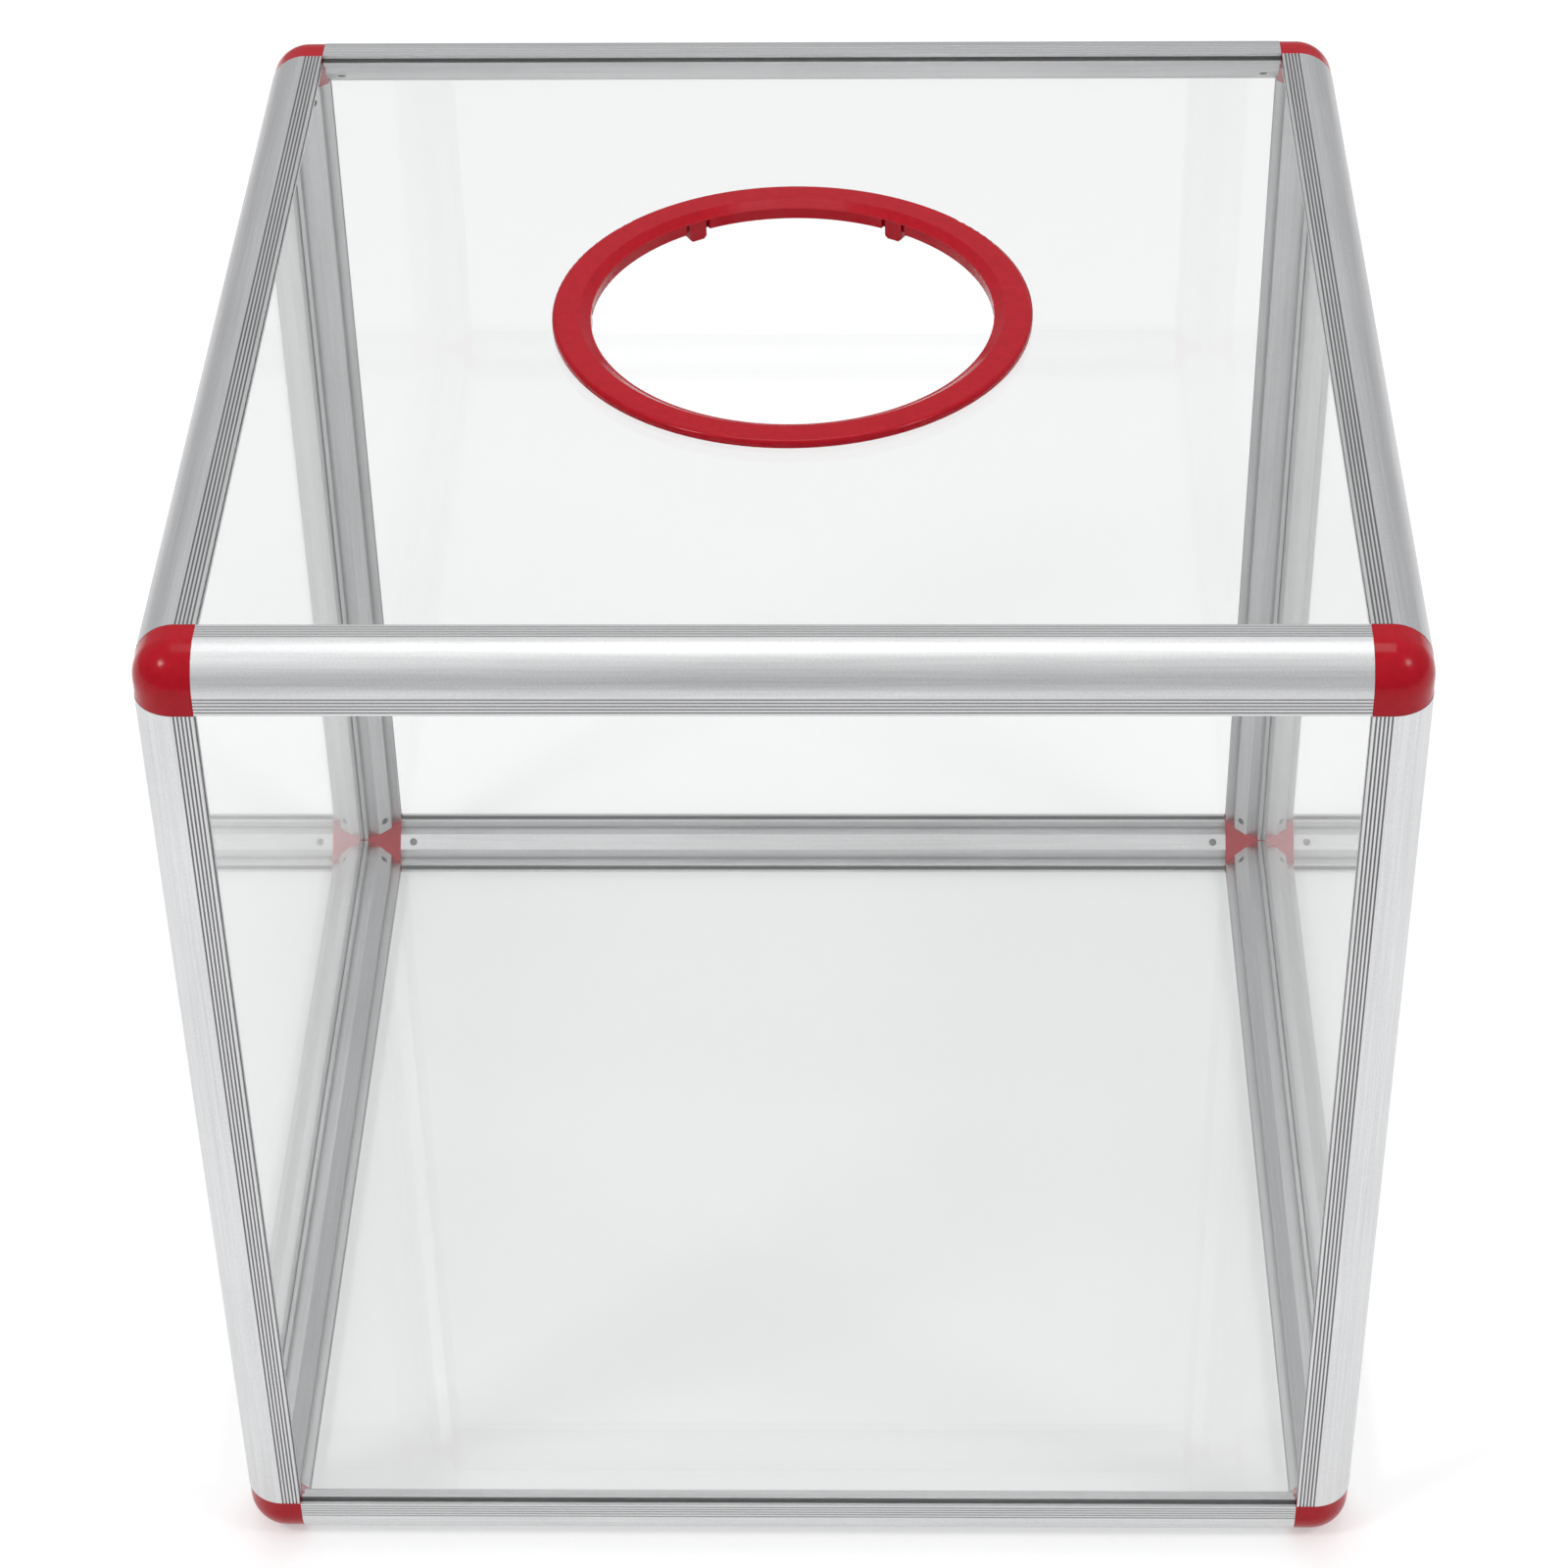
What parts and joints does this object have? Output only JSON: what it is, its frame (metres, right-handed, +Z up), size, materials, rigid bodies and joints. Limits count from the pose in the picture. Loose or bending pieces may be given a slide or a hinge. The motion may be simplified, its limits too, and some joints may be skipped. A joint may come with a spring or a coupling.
{
  "type": "ballot box",
  "caption": "Clear cube-shaped ballot box with grooved aluminium edge rails, red corner connectors and a red snap-in ring round the hand hole in the top panel",
  "frame": {"origin": "middle of the underside, on the surface the box stands on", "axes": "+X to the right, +Y to the back, +Z up"},
  "size_m": [0.3, 0.3, 0.3009],
  "materials": {
    "aluminium_rail": "satin anodised, fine lengthwise grain",
    "red_plastic": "glossy moulded plastic",
    "clear_acrylic": "clear cast acrylic sheet, polished faces",
    "steel_pin": "bare steel"
  },
  "bodies": {
    "root": {"rail_front_top": "aluminium_rail", "rail_front_bottom": "aluminium_rail", "rail_back_top": "aluminium_rail", "rail_back_bottom": "aluminium_rail", "rail_left_top": "aluminium_rail", "rail_left_bottom": "aluminium_rail", "rail_right_top": "aluminium_rail", "rail_right_bottom": "aluminium_rail", "rail_front_left": "aluminium_rail", "rail_front_right": "aluminium_rail", "rail_back_left": "aluminium_rail", "rail_back_right": "aluminium_rail", "corner_front_left_bottom": "red_plastic", "corner_front_right_bottom": "red_plastic", "corner_back_left_bottom": "red_plastic", "corner_back_right_bottom": "red_plastic", "corner_front_left_top": "red_plastic", "corner_front_right_top": "red_plastic", "corner_back_left_top": "red_plastic", "corner_back_right_top": "red_plastic", "panel_front": "clear_acrylic", "panel_back": "clear_acrylic", "panel_left": "clear_acrylic", "panel_right": "clear_acrylic", "panel_bottom": "clear_acrylic", "panel_top": "clear_acrylic", "hole_ring": "red_plastic", "locking_pins": "steel_pin"}
  },
  "joints": []
}
